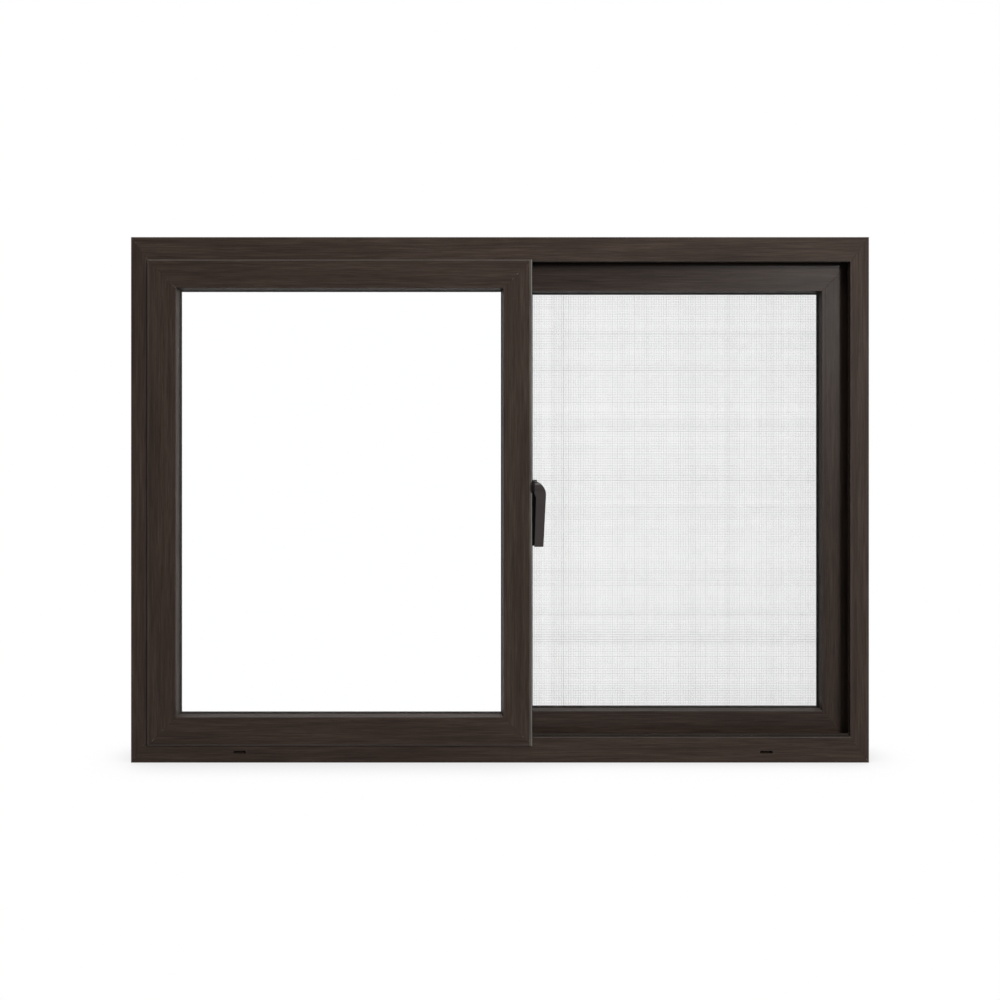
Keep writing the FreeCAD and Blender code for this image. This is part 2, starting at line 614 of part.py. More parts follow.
# The latch: a case on the edge of the inner meeting stile, with a pin for the lever.
case_front = "lever_front + lever_deep + run_gap"
case = box(
    "latch_case",
    ("meeting_edge", case_front, "lever_low - fit_gap"),
    ("meeting_edge + latch_block", "sash_thick - sash_proud - fit_gap", "latch_pivot + latch_hub"),
)
bridge = box(
    "latch_bridge",
    ("meeting_edge", "pivot_deep", "latch_pivot - latch_hub"),
    ("meeting_edge + lug_thick", f"{case_front} + run_gap", "latch_pivot + latch_hub"),
)
disc = rod("latch_disc", "latch_hub", ("meeting_edge", "pivot_deep", "latch_pivot"), (1, 0, 0), "lug_thick")
pin = rod("latch_stud", "latch_pin", ("meeting_edge", "pivot_deep", "latch_pivot"), (1, 0, 0), "pin_long")
NODES.append(fuse("latch_base", [case, bridge, disc, pin]))

# The lever: its front outline, its side outline and its round crown, and what they share.
def slab(name, rotation, corners, along, length, spot):
    """A closed outline of straight lines padded into a solid."""
    sketch = doc.addObject("Sketcher::SketchObject", name + "_outline")
    sketch.Placement = FreeCAD.Placement(FreeCAD.Vector(), rotation)
    pin_corners(sketch, [corners])
    solid = doc.addObject("Part::Extrusion", name)
    solid.Base = sketch
    solid.DirMode = "Custom"
    solid.Dir = FreeCAD.Vector(*along)
    solid.Solid = True
    solid.setExpression("LengthFwd", bound(length))
    place(solid, spot)
    return solid


x_axis, y_axis, z_axis = FreeCAD.Vector(1, 0, 0), FreeCAD.Vector(0, 1, 0), FreeCAD.Vector(0, 0, 1)
hub_left = "meeting_edge + lug_thick + fit_gap"
hub_right = "meeting_edge + lever_right"
hub_top = "latch_pivot + 2 * latch_hub"
lever_room = "lever_deep + 2 * latch_hub"
lever_start = "lever_front - latch_hub"
blank_corners = [
    (hub_left, "latch_pivot - latch_hub"), (hub_left, hub_top), (hub_right, hub_top),
    (hub_right, "crown_middle"), ("meeting_edge + lever_tip_right", "lever_low"),
    ("meeting_edge + lever_tip_left", "lever_low"),
    ("meeting_edge + lever_left", "latch_pivot - neck_drop"),
]
facing_front = FreeCAD.Rotation(x_axis, z_axis, -y_axis, "XYZ")
blank = slab("lever_blank", facing_front, blank_corners, (0, 1, 0), lever_room, ("0", lever_start, "0"))
tail = "(lever_deep - lever_tail) / 2"
grip_corners = [
    ("lever_front", "latch_pivot"), ("lever_front + lever_deep", "latch_pivot"),
    (f"lever_front + lever_deep - {tail}", "lever_low - run_gap"),
    (f"lever_front + {tail}", "lever_low - run_gap"),
]
facing_side = FreeCAD.Rotation(y_axis, z_axis, x_axis, "XYZ")
grip = slab("lever_grip", facing_side, grip_corners, (1, 0, 0), "2 * lever_right", ("meeting_edge", "0", "0"))
pivot = ("meeting_edge", "pivot_deep", "latch_pivot")
hub = rod("lever_hub", "latch_hub", pivot, (1, 0, 0), "2 * lever_right")
crown = rod("lever_crown", "lever_right", ("meeting_edge", lever_start, "crown_middle"), (0, 1, 0), lever_room)
below = box(
    "lever_below",
    ("meeting_edge", lever_start, "lever_low - run_gap"),
    ("meeting_edge + 2 * lever_right", f"{lever_start} + {lever_room}", "crown_middle"),
)
lever_form = doc.addObject("Part::MultiCommon", "lever_form")
lever_form.Shapes = [blank, fuse("lever_profile", [grip, hub]), fuse("lever_rounding", [crown, below])]
bore = rod("lever_bore", "latch_pin + pin_gap", pivot, (1, 0, 0), "pin_long + fit_gap")
NODES.append(cut("latch_lever", lever_form, bore))
doc.recompute()

# Every object must have worked out before anything is written.
for thing in doc.Objects:
    if any(word in thing.State for word in ("Invalid", "Error")):
        raise RuntimeError(f"{thing.Name} failed: {thing.State}")
for node in NODES:
    if node.Shape.isNull() or not node.Shape.isValid():
        raise RuntimeError(f"{node.Label} has no valid shape")
    node.Shape.exportStep(f"parts/{node.Label}.step")
print(len(NODES), "pieces written")
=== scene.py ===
# %% [markdown]
# # A sliding window with a sliding insect screen
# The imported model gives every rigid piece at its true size: a mitred frame, two sashes, a screen and a latch.
# This lesson adds what a workshop adds to the cut profiles: foil, rubber, glass, wire mesh, weld seams,
# screws and brushes. Then it sets up the studio. All lengths are in metres.

import json
import math
import random

import bpy
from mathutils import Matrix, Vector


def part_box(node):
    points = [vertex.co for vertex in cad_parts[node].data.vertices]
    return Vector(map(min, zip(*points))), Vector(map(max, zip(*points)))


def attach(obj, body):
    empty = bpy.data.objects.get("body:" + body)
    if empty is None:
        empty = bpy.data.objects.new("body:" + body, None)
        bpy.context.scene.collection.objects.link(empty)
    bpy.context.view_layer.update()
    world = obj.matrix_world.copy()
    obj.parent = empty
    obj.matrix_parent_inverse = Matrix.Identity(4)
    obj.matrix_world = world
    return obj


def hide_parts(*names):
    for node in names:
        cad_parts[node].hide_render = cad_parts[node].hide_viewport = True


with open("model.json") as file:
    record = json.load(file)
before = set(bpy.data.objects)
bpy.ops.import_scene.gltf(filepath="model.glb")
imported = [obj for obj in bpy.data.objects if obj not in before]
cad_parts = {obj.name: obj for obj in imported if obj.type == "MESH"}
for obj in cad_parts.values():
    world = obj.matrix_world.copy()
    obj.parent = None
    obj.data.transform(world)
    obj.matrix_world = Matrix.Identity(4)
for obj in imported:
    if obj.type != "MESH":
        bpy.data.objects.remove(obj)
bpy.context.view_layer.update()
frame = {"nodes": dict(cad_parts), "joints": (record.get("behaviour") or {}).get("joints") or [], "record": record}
print("pieces loaded:", len(frame["nodes"]))

# %% [markdown]
# ## The camera
# The window is seen square on, so its front plane stays parallel to the sensor and no edge leans. The eye is
# a little above the middle of the window: the sill's rail shows its top, and the bevels below the panes look
# wider than those above. Tilting the camera would make the sides lean, so the lens is shifted down instead.

# %% Place the camera
X, Y, Z = range(3)
LOW, HIGH = range(2)
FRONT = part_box("frame_sill")[LOW][Y]
EYE_AWAY = 2.0
EYE_HIGH = 0.640
SENSOR_WIDE = 36
LENS = 38.24
SHIFT_DOWN = 0.0771
bpy.ops.object.camera_add(location=(0, FRONT - EYE_AWAY, EYE_HIGH), rotation=(math.radians(90), 0, 0))
camera = bpy.context.object
camera.name = "camera"
camera.data.sensor_width = SENSOR_WIDE
camera.data.lens = LENS
camera.data.shift_y = -SHIFT_DOWN
bpy.context.scene.camera = camera
print("camera at", [round(v, 3) for v in camera.location])

# %% [markdown]
# ## A small kit for shader maths
# A finish is easier to read as a formula than as wires between boxes. `Signal` wraps a socket and turns + - *
# into Math nodes. `Finish` holds one node tree and makes every other node through one method.

# %% Signals
class Signal:
    """A shader socket that can be used in arithmetic."""

    def __init__(self, finish, socket):
        self.finish = finish
        self.socket = socket

    def math(self, operation, first, second):
        settings = {"operation": operation}
        return self.finish.node("ShaderNodeMath", settings, {0: first, 1: second})

    def __add__(self, other):
        return self.math("ADD", self, other)

    def __radd__(self, other):
        return self.math("ADD", other, self)

    def __sub__(self, other):
        return self.math("SUBTRACT", self, other)

    def __rsub__(self, other):
        return self.math("SUBTRACT", other, self)

    def __mul__(self, other):
        return self.math("MULTIPLY", self, other)

    def __rmul__(self, other):
        return self.math("MULTIPLY", other, self)


# %% Finishes
class Finish:
    """A node tree with one shader and a single way to add nodes."""

    def __init__(self, owner, **constants):
        owner.use_nodes = True
        self.owner = owner
        self.tree = owner.node_tree
        self.shader = next(n for n in self.tree.nodes if n.type in ("BSDF_PRINCIPLED", "BACKGROUND"))
        for socket, value in constants.items():
            self.shader.inputs[socket.replace("_", " ")].default_value = value
        print("finish:", owner.name)

    def node(self, kind, settings=None, inputs=None, output=0):
        made = self.tree.nodes.new(kind)
        for key, value in (settings or {}).items():
            if key == "stops":
                elements = made.color_ramp.elements
                while len(elements) < len(value):
                    elements.new(0.5)
                for element, (position, colour) in zip(elements, value):
                    element.position = position
                    element.color = (*colour, 1)
            else:
                setattr(made, key, value)
        for key, value in (inputs or {}).items():
            if isinstance(value, Signal):
                self.tree.links.new(value.socket, made.inputs[key])
            else:
                made.inputs[key].default_value = value
        return Signal(self, made.outputs[output])

    def feed(self, socket, signal):
        self.tree.links.new(signal.socket, self.shader.inputs[socket])

    def noise(self, spread, detail=2):
        """Fractal noise from 0 to 1, whose blotches are about as long as spread gives on each axis."""
        where = self.node("ShaderNodeTexCoord", output="Object")
        scale = [1 / length for length in spread]
        there = self.node("ShaderNodeMapping", {}, {"Vector": where, "Scale": scale})
        inputs = {"Vector": there, "Scale": 1, "Detail": detail, "Roughness": 0.55}
        return self.node("ShaderNodeTexNoise", {}, inputs, output="Fac")

    def facing(self, axis):
        """How far the surface faces along an axis, from -1 to 1."""
        normal = self.node("ShaderNodeTexCoord", output="Normal")
        return self.node("ShaderNodeSeparateXYZ", {}, {"Vector": normal}, output=axis)

    def ramp(self, signal, stops):
        return self.node("ShaderNodeValToRGB", {"stops": stops}, {"Fac": signal}, output="Color")

    def blend(self, factor, first, second):
        """A colour between two colours, each of them a signal or three numbers."""
        ends = [colour if isinstance(colour, Signal) else (*colour, 1) for colour in (first, second)]
        inputs = {0: factor, 6: ends[0], 7: ends[1]}
        return self.node("ShaderNodeMix", {"data_type": "RGBA"}, inputs, output=2)

    def bump(self, height, strength, distance):
        inputs = {"Height": height, "Strength": strength, "Distance": distance}
        self.feed("Normal", self.node("ShaderNodeBump", {}, inputs, output="Normal"))


BLACK = (0, 0, 0)
WHITE = (1, 1, 1)


def new_finish(name, **constants):
    return Finish(bpy.data.materials.new(name), **constants)


def shade(colour, *times):
    """A colour made lighter or darker, by one factor or by one for each channel."""
    return tuple(channel * factor for channel, factor in zip(colour, times * 3))


# %% [markdown]
# ## Woodgrain foil
# The profiles are extruded plastic wrapped in a printed, embossed foil. Its grain is long dark pores and
# paler streaks that run along each member, so a rail and a stile need the same pattern turned by a quarter.
# Stretching noise along one axis gives streaks, and noises of three widths keep them from looking combed.
# The pores also go into the bump, because the roller that prints the foil presses them in. On an edge or a
# bevel the foil is paler, partly because it is stretched there and partly as a painted highlight, and it is
# smoother there, so it gets a thin coat. Both are found from the way the surface faces. The outer sash's foil
# is smoother, so it has more sheen, and its brown is darker, as painted shade.

# %% Foil along a rail and along a stile
BROWN = (0.0345, 0.0232, 0.0180)
FOIL_GLOSS = 0.10
FOIL_ROUGH = 0.40


def foil(name, along, colour=BROWN, rough=FOIL_ROUGH):
    finish = new_finish(name, Specular_IOR_Level=FOIL_GLOSS, Coat_Roughness=0.28, Coat_IOR=2.4)

    def streaks(length, width, detail):
        spread = [width] * 3
        spread[along] = length
        return finish.noise(spread, detail)

    broad = streaks(0.30, 0.022, 2)
    middle = streaks(0.13, 0.0052, 3)
    fine = streaks(0.06, 0.0019, 3)
    pores = finish.ramp(streaks(0.030, 0.0011, 2), [(0.33, BLACK), (0.45, WHITE)])
    tone = broad * 0.27 + middle * 0.33 + fine * 0.40
    wood = finish.ramp(tone, [
        (0.36, shade(colour, 0.56)),
        (0.50, colour),
        (0.64, shade(colour, 1.50, 1.58, 1.62)),
    ])
    printed = finish.blend(0.40 - 0.40 * pores, wood, shade(colour, 0.35))
    depth = finish.facing("Y")
    bent = 1 - depth * depth
    edge = finish.ramp(bent, [
        (0.012, BLACK),
        (0.05, WHITE),
        (0.965, WHITE),
        (0.985, BLACK),
    ])
    # Edges and bevels blend to these paler tones: partly stretched foil, partly a painted highlight.
    pale = finish.ramp(tone, [
        (0.36, shade(colour, 1.60, 2.05, 2.40)),
        (0.64, shade(colour, 2.75, 3.50, 4.05)),
    ])
    finish.feed("Base Color", finish.blend(edge * 0.7, printed, pale))
    finish.feed("Roughness", rough + 0.16 * fine)
    finish.feed("Coat Weight", edge * 0.06)
    finish.bump(pores * 0.6 + fine * 0.4, 0.30, 0.0001)
    return finish.owner


# The outer sash's darker brown is painted shade. It is the same foil as on the rest of the window.
OUTER_SHADED_BROWN = shade(BROWN, 0.79)
OUTER_ROUGH = 0.28
CAP_BROWN = (0.073, 0.061, 0.051)
foil_rail = foil("foil_along_rail", X)
foil_stile = foil("foil_along_stile", Z)
shaded_outer_rail = foil("outer_shaded_foil_along_rail", X, OUTER_SHADED_BROWN, OUTER_ROUGH)
shaded_outer_stile = foil("outer_shaded_foil_along_stile", Z, OUTER_SHADED_BROWN, OUTER_ROUGH)
cap_strip = foil("interlock_strip", Z, CAP_BROWN)

# %% [markdown]
# ## Rubber, bronze and moulded plastic
# Gaskets are matt dark rubber with a slight bloom, and a little paler on the faces that look up. Those of the
# outer sash are painted near black, as painted shade, and their faces that look up are much paler, partly
# dust and partly a painted highlight from the light above. The tracks are bronze anodised aluminium with
# fine lines from the die along their length. Rollers, glides and the latch case are moulded, so they have a
# spark-eroded texture: a fine, even bump. The lever is cast and painted satin, a little worn, and the screen
# bars are powder coated.

# %% Rubber
def rubber(name, fresh, bloomed, dusty_and_lit):
    finish = new_finish(name, Specular_IOR_Level=0.08)
    bloom = finish.noise((0.02, 0.02, 0.02), 3)
    skin = finish.noise((0.0006, 0.0006, 0.0006), 2)
    # Faces that look up get the dusty colour: partly dust, partly a painted highlight from the light above.
    dust_and_top_light = finish.ramp(finish.facing("Z"), [(0.2, BLACK), (0.7, WHITE)])
    bare = finish.ramp(bloom, [(0.35, fresh), (0.7, bloomed)])
    finish.feed("Base Color", finish.blend(dust_and_top_light * (0.6 + 0.4 * bloom), bare, dusty_and_lit))
    finish.feed("Roughness", 0.55 + 0.25 * bloom)
    finish.bump(skin, 0.25, 0.0001)
    return finish.owner


GREY_BLOOM = (0.052, 0.047, 0.044)
dark_rubber = rubber("dark_rubber", (0.030, 0.027, 0.025), GREY_BLOOM, GREY_BLOOM)
# The outer gaskets' near-black rubber is painted shade, and their pale upward faces are a painted highlight.
outer_rubber_painted_shade_and_light = rubber("outer_rubber_painted_shade_and_light", (0.006, 0.0055, 0.005), (0.014, 0.013, 0.012), (0.105, 0.097, 0.090))


# %% Bronze anodised track
def anodised(name):
    finish = new_finish(name, Metallic=0.20, Specular_IOR_Level=0.12)
    lines = finish.noise((0.4, 0.0009, 0.0009), 2)
    cloud = finish.noise((0.05, 0.02, 0.02), 3)
    finish.feed("Base Color", finish.ramp(lines * 0.6 + cloud * 0.4, [
        (0.35, (0.018, 0.0140, 0.0115)),
        (0.65, (0.032, 0.0260, 0.0215)),
    ]))
    finish.feed("Roughness", 0.42 + 0.25 * cloud)
    finish.bump(lines, 0.25, 0.0001)
    return finish.owner


bronze = anodised("bronze_anodised")


# %% Moulded plastic and satin paint
def moulded(name, colour, roughness, texture, gloss=0.35, lacquer=0.0):
    finish = new_finish(name, Specular_IOR_Level=gloss, Coat_Weight=lacquer, Coat_Roughness=0.12)
    grain = finish.noise((texture, texture, texture), 2)
    cloud = finish.noise((0.03, 0.03, 0.03), 3)
    finish.feed("Base Color", finish.blend(cloud, shade(colour, 0.75), shade(colour, 1.3)))
    finish.feed("Roughness", roughness - 0.08 + 0.16 * cloud)
    finish.bump(grain, 0.22, texture * 0.12)
    return finish.owner


case_plastic = moulded("latch_case_plastic", (0.0042, 0.0034, 0.0031), 0.5, 0.0007, 0.12)
roller_plastic = moulded("roller_plastic", (0.055, 0.055, 0.056), 0.45, 0.0008)
lever_paint = moulded("lever_satin_paint", (0.0245, 0.0178, 0.0170), 0.32, 0.0012, 0.10, 0.40)
bar_paint = moulded("screen_bar_powder_coat", (0.036, 0.027, 0.023), 0.48, 0.0011)
screw_steel = moulded("blackened_screw_steel", (0.06, 0.058, 0.056), 0.3, 0.0005, 0.8)


# %% Weld seam
def scraped_weld(name):
    finish = new_finish(name, Specular_IOR_Level=0.1)
    patch = finish.noise((0.009, 0.009, 0.009), 3)
    finish.feed("Base Color", finish.ramp(patch, [
        (0.48, shade(BROWN, 0.8)),
        (0.60, BROWN),
        (0.70, (0.170, 0.142, 0.124)),
    ]))
    finish.feed("Roughness", 0.35 + 0.25 * patch)
    finish.bump(patch, 0.3, 0.0001)
    return finish.owner


weld_plastic = scraped_weld("weld_seam_plastic")


# %% Brush pile
def brush(name):
    finish = new_finish(name, Specular_IOR_Level=0.1, Sheen_Weight=0.3)
    tufts = finish.noise((0.004, 0.002, 0.0009), 3)
    finish.feed("Base Color", finish.ramp(tufts, [
        (0.3, (0.010, 0.010, 0.011)),
        (0.7, (0.050, 0.049, 0.050)),
    ]))
    finish.feed("Roughness", 0.75 + 0.2 * tufts)
    return finish.owner


grey_brush = brush("grey_brush_pile")

# %% [markdown]
# ## Glass and mesh wire
# A pane is real clear glass with a trace of green in its depth and faint wipe marks in its gloss. The screen
# is woven from glass fibre coated in grey vinyl: it is matt, and no two threads are quite the same grey.

# %% Clear glass
def clear_glass(name):
    finish = new_finish(name, Transmission_Weight=1.0, IOR=1.5)
    wipes = finish.noise((0.25, 0.25, 0.08), 3)
    finish.feed("Base Color", finish.ramp(wipes, [
        (0.3, (0.992, 1.0, 0.996)),
        (0.7, (0.998, 1.0, 1.0)),
    ]))
    finish.feed("Roughness", 0.012 * wipes)
    return finish.owner


pane = clear_glass("clear_glass")


# %% Vinyl coated thread
def vinyl_thread(name):
    finish = new_finish(name, Specular_IOR_Level=0.2)
    patch = finish.noise((0.02, 0.02, 0.02), 2)
    finish.feed("Base Color", finish.ramp(patch, [
        (0.3, (0.16, 0.16, 0.165)),
        (0.7, (0.30, 0.30, 0.305)),
    ]))
    finish.feed("Roughness", 0.5 + 0.3 * patch)
    return finish.owner


thread = vinyl_thread("vinyl_thread")

# %% [markdown]
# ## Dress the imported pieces
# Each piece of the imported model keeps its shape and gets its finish. Members that lie across the window take
# the foil along a rail, and upright ones take it along a stile.

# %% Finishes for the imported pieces
SLOT_FINISH = {
    "glass": pane,
    "gasket": dark_rubber,
    "track": bronze,
    "roller": roller_plastic,
    "pile": grey_brush,
    "latch_case": case_plastic,
    "latch_lever": lever_paint,
    "screen_bar": bar_paint,
    "mesh": thread,
}
ACROSS = ("head", "sill", "top", "bottom")


def finish_for(name, slot):
    if name.endswith("_interlock"):
        return cap_strip
    if name == "rear_gaskets":
        return outer_rubber_painted_shade_and_light
    if slot == "profile":
        rail, stile = (shaded_outer_rail, shaded_outer_stile) if name.startswith("rear_") else (foil_rail, foil_stile)
        return rail if any(word in name for word in ACROSS) else stile
    return SLOT_FINISH[slot]


for part in frame["record"]["subparts"]:
    surface = frame["nodes"][part["node"]].data
    surface.materials.clear()
    surface.materials.append(finish_for(part["node"], part["material_slot"]))

# %% [markdown]
# ## Helpers at the bench
# A piece starts as a primitive of its own size. Operators act on all that is selected, so each helper
# deselects first. Parts of one piece are joined, and the joined piece rides on the body that carries it.

# %% Start and shape a piece
SHARP = 35


def alone(thing):
    bpy.ops.object.select_all(action="DESELECT")
    thing.select_set(True)
    bpy.context.view_layer.objects.active = thing


def settle(thing):
    """Puts a piece's place, turn and size into its mesh."""
    alone(thing)
    bpy.ops.object.transform_apply(location=True, rotation=True, scale=True)


def block(name, low, high):
    """A box between two corners, as a start."""
    bpy.ops.object.select_all(action="DESELECT")
    bpy.ops.mesh.primitive_cube_add(size=1, location=[(a + b) / 2 for a, b in zip(low, high)])
    made = bpy.context.object
    made.name = name
    made.scale = [b - a for a, b in zip(low, high)]
    settle(made)
    return made


def apply_all(thing):
    alone(thing)
    for modifier in list(thing.modifiers):
        bpy.ops.object.modifier_apply(modifier=modifier.name)


def soften(thing, width, segments=2, angle=SHARP):
    """Rounds the sharp edges of a piece."""
    bevel = thing.modifiers.new("rounding", "BEVEL")
    bevel.width = width
    bevel.segments = segments
    bevel.limit_method = "ANGLE"
    bevel.angle_limit = math.radians(angle)
    apply_all(thing)


# %% Copy, join and mount a piece
def copy_of(thing, name):
    """A copy with its own mesh."""
    made = thing.copy()
    made.data = thing.data.copy()
    made.name = name
    bpy.context.collection.objects.link(made)
    return made


def joined(parts, name):
    bpy.ops.object.select_all(action="DESELECT")
    for part in parts:
        part.select_set(True)
    bpy.context.view_layer.objects.active = parts[0]
    bpy.ops.object.join()
    made = bpy.context.object
    made.name = name
    return made


def mount(thing, body, finish):
    settle(thing)
    thing.data.materials.clear()
    thing.data.materials.append(finish)
    bpy.ops.object.shade_smooth_by_angle(angle=math.radians(SHARP))
    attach(thing, body)
    print(thing.name, "has", len(thing.data.polygons), "faces")


# %% [markdown]
# ## Weld seams
# The mitred corners are welded, and a scraper leaves a fine pale bead where bare plastic shows through the
# foil. A bead could be drawn in the finish, but a raised one catches the light. It is a thin bar as long as
# its mitre, with its edges rounded, and is turned along the mitre. One runs from the corner to the glazing
# bead, and another across the glazing bead itself.

# %% One bead, laid between two points
BEAD_WIDE = 0.0007
BEAD_ROOT = 0.0004
BEAD_ROUND = 0.8


def seam(start, end, proud, wide=BEAD_WIDE):
    """A weld bead from start to end, standing proud towards -Y, or towards +Y where proud is negative."""
    run = [b - a for a, b in zip(start, end)]
    long = math.hypot(run[X], run[Z])
    side = 1 if proud > 0 else -1
    bar = block("seam", (0, -abs(proud), -wide / 2), (long, BEAD_ROOT, wide / 2))
    soften(bar, abs(proud) * BEAD_ROUND)
    bar.scale = (1, side, 1)
    bar.rotation_euler = (0, -math.atan2(run[Z], run[X]), 0)
    bar.location = start
    settle(bar)
    if side < 0:
        bpy.ops.object.mode_set(mode="EDIT")
        bpy.ops.mesh.select_all(action="SELECT")
        bpy.ops.mesh.normals_make_consistent(inside=False)
        bpy.ops.object.mode_set(mode="OBJECT")
    return bar


# %% Beads on the frame's corners
PROUD = 0.00010
CORNER_GAP = 0.0022
LIP_GAP = 0.0012
jamb_low, jamb_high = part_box("frame_left_jamb")
jamb_wide = jamb_high[X] - jamb_low[X]
outside = jamb_low[X] + CORNER_GAP
lip_in = jamb_high[X] - LIP_GAP
sill_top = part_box("frame_sill")[HIGH][Z]
head_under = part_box("frame_head")[LOW][Z]
head_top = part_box("frame_head")[HIGH][Z]
print("lip from", round(outside, 4), "to", round(lip_in, 4))
frame_beads = []
for side in (1, -1):
    for outer, inner in ((0, sill_top), (head_top, head_under)):
        rise = (inner - outer) / jamb_wide
        start = (side * outside, FRONT, outer + CORNER_GAP * rise)
        end = (side * lip_in, FRONT, inner - LIP_GAP * rise)
        frame_beads.append(seam(start, end, PROUD))
frame_seams = joined(frame_beads, "frame_weld_seams")
mount(frame_seams, "frame", weld_plastic)

# %% Beads on one sash
FACE = 0.0570
BEAD_START = 0.0470
BEAD_FLAT = 0.0534
BEAD_SUNK = 0.0005
START_GAP = 0.0006
FLAT_GAP = 0.0004
BACK_STEP = 0.006


def sash_seams(name, body, sides, low, high, front, back):
    """Beads on both faces of a sash: sides maps an outer edge's x to the way inwards and a first step."""
    sunk = front + BEAD_SUNK
    beads = []
    for edge, (inwards, first) in sides.items():
        for base, up in ((low, 1), (high, -1)):

            def at(step, depth):
                return (edge + inwards * step, depth, base + up * step)

            beads.append(seam(at(first, front), at(BEAD_START - START_GAP, front), PROUD))
            beads.append(seam(at(BEAD_START + START_GAP, sunk), at(BEAD_FLAT - FLAT_GAP, sunk), PROUD))
            beads.append(seam(at(max(first, BACK_STEP), back), at(FACE - LIP_GAP, back), -PROUD))
    made = joined(beads, name)
    mount(made, body, weld_plastic)


# %% Beads on both sashes
EDGE_STEP = 0.0016
CAP_STEP = 0.0062
SASH_TALL = 0.912
left_low, left_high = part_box("front_left_stile")
right_low, right_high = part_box("rear_right_stile")
front_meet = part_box("front_interlock")[HIGH][X]
rear_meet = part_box("rear_interlock")[LOW][X]
front_sides = {left_low[X]: (1, EDGE_STEP), front_meet: (-1, CAP_STEP)}
rear_sides = {right_high[X]: (-1, EDGE_STEP), rear_meet: (1, CAP_STEP)}
sash_low = left_low[Z]
sash_high = sash_low + SASH_TALL
sash_seams(
    "front_sash_weld_seams", "front_sash", front_sides, sash_low, sash_high, left_low[Y], left_high[Y])
sash_seams(
    "rear_sash_weld_seams", "rear_sash", rear_sides, sash_low, sash_high, right_low[Y], right_high[Y])

# %% [markdown]
# ## The latch
# The lever is a zinc casting, so none of its edges is sharp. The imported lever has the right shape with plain
# edges: a copy of it is rebuilt from small even cells and relaxed, which rounds every edge and only takes
# material away there. Relaxing closes the bore a little, so the bore is reamed again round the case's pin.
# The case is moulded: its flat faces are cleaned up and its edges get a small radius.

# %% Copy, turn and cut
def clean_copy(node, name):
    """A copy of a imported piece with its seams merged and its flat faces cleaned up."""
    made = copy_of(frame["nodes"][node], name)
    made.parent = None
    alone(made)
    bpy.ops.object.mode_set(mode="EDIT")
    bpy.ops.mesh.select_all(action="SELECT")
    bpy.ops.mesh.remove_doubles(threshold=0.00001)
    bpy.ops.mesh.dissolve_limited(angle_limit=math.radians(2))
    bpy.ops.object.mode_set(mode="OBJECT")
    return made


def rod(name, radius, long, sides, place=(0, 0, 0)):
    """A round bar along X, as a start."""
    bpy.ops.object.select_all(action="DESELECT")
    bpy.ops.mesh.primitive_cylinder_add(
        vertices=sides, radius=radius, depth=long, rotation=(0, math.radians(90), 0), location=place)
    made = bpy.context.object
    made.name = name
    settle(made)
    return made


def cut_out(thing, tool):
    """Cuts a tool's shape out of a piece and takes the tool away."""
    cut = thing.modifiers.new("cut", "BOOLEAN")
    cut.object = tool
    apply_all(thing)
    bpy.data.objects.remove(tool)


# %% Rounded lever
BORE_LONG = 0.0106
BORE_RADIUS = 0.0042
lever = clean_copy("latch_lever", "cast_lever")
cells = lever.modifiers.new("cells", "REMESH")
cells.mode = "VOXEL"
cells.voxel_size = 0.0006
relax = lever.modifiers.new("relax", "SMOOTH")
relax.factor = 0.5
relax.iterations = 14
thin = lever.modifiers.new("fewer_faces", "DECIMATE")
thin.ratio = 0.35
apply_all(lever)
lever_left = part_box("latch_lever")[LOW][X]
pivot = next(joint for joint in frame["joints"] if joint["name"] == "latch_turn")
reamer = rod("reamer", BORE_RADIUS, 2 * BORE_LONG, 48, (lever_left, *pivot["pos_m"][Y:]))
cut_out(lever, reamer)
mount(lever, "latch_lever", lever_paint)
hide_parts("latch_lever")

# %% Rounded case
CASE_ROUND = 0.0006
case = clean_copy("latch_base", "moulded_latch_case")
soften(case, CASE_ROUND, 3, 30)
mount(case, "front_sash", case_plastic)
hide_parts("latch_base")

# %% [markdown]
# ## Screws
# The latch case is held by two small countersunk screws with a cross recess. A disc is rounded at its rim,
# and a cross is cut into it with two crossed bars and a Boolean. One screw is made and copied.

# %% One screw
SCREW_RADIUS = 0.0028
SCREW_DEEP = 0.0016
SCREW_ROUND = 0.0005
RECESS_WIDE = 0.0006
RECESS_LONG = 0.0034
RECESS_FLOOR = 0.0001
RECESS_TOP = 0.002
screw = rod("screw", SCREW_RADIUS, SCREW_DEEP, 32)
soften(screw, SCREW_ROUND, 2, 50)
for wide, tall in ((RECESS_WIDE, RECESS_LONG), (RECESS_LONG, RECESS_WIDE)):
    bar = block("recess", (RECESS_FLOOR, -wide / 2, -tall / 2), (RECESS_TOP, wide / 2, tall / 2))
    cut_out(screw, bar)
print("a screw has", len(screw.data.polygons), "faces")

# %% Two screws on the case
CASE_FACE = 0.0700
CASE_MIDDLE = 0.0170
SCREW_SUNK = 0.0001
FROM_FOOT = 0.014
FROM_TOP = 0.045
case_low, case_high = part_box("latch_base")
screws = []
for height in (case_low[Z] + FROM_FOOT, case_high[Z] - FROM_TOP):
    placed = copy_of(screw, "placed_screw")
    placed.location = (CASE_FACE - SCREW_SUNK, FRONT + CASE_MIDDLE, height)
    settle(placed)
    screws.append(placed)
bpy.data.objects.remove(screw)
mount(joined(screws, "latch_case_screws"), "front_sash", screw_steel)

# %% [markdown]
# ## Joints of the screen's bars
# The screen's bars are cut at 45 degrees and pushed onto hidden corner keys, so a dark hairline shows at each
# corner, on both sides. It is the same bead as a weld seam, only narrower and nearly flush.

